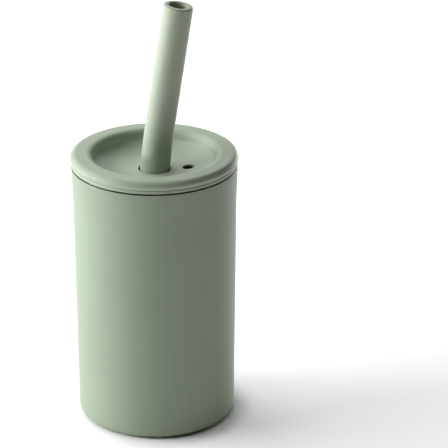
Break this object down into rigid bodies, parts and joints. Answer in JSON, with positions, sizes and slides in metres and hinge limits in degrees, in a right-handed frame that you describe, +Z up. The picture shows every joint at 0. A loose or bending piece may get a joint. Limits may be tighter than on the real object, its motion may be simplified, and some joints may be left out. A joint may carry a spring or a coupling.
{
  "type": "insulated straw tumbler",
  "caption": "Small round double-walled tumbler with a press-on dished lid, a beaded rim, a vent hole and a thick straw leaning through the lid's centre.",
  "frame": {"origin": "centre of the foot pad's underside, which rests on the table", "axes": "+Z up along the cup's axis; the straw leans towards +X, and the vent hole is on the +X side"},
  "size_m": [0.067, 0.067, 0.1738],
  "materials": {
    "shell_coat": "fine matte powder coat, sage green",
    "liner_steel": "turned, satin",
    "foil_copper": "thin bright copper foil",
    "getter_metal": "dull sintered grey",
    "clip_steel": "spring steel strip",
    "foot_silicone": "matte silicone, sage green",
    "lid_silicone": "matte silicone, sage green",
    "lid_plastic": "matte plastic, sage green",
    "seal_silicone": "natural milky silicone",
    "straw_silicone": "matte silicone, sage green",
    "tube_plastic": "natural milky plastic"
  },
  "bodies": {
    "cup": {"outer_shell": "shell_coat", "inner_liner": "liner_steel", "heat_shield_foil": "foil_copper", "shell_bottom": "liner_steel", "getter_pellet": "getter_metal", "getter_clip": "clip_steel", "vacuum_seal_bead": "getter_metal", "base_cap": "shell_coat", "foot_pad": "foot_silicone"},
    "lid_seals": {"lid_seal_upper": "seal_silicone", "lid_seal_lower": "seal_silicone"},
    "lid": {"lid_top": "lid_silicone", "lid_carrier_ring": "lid_plastic"},
    "bush": {"straw_grommet": "seal_silicone"},
    "straw": {"straw_mouthpiece": "straw_silicone", "straw_tube": "tube_plastic"}
  },
  "joints": [
    {"name": "lid_lift", "type": "slide", "parent": "cup", "child": "lid_seals", "axis": [0, 0, 1], "range_m": [0, 0.112]},
    {"name": "lid_turn", "type": "hinge", "parent": "lid_seals", "child": "lid", "pos_m": [0, 0, 0.1069], "axis": [0, 0, 1], "continuous": true},
    {"name": "straw_turn", "type": "hinge", "parent": "lid", "child": "bush", "pos_m": [0, 0, 0.1], "axis": [0, 0, 1], "continuous": true},
    {"name": "straw_slide", "type": "slide", "parent": "bush", "child": "straw", "axis": [0.0958, 0, 0.9954], "range_m": [0, 0.012]}
  ]
}
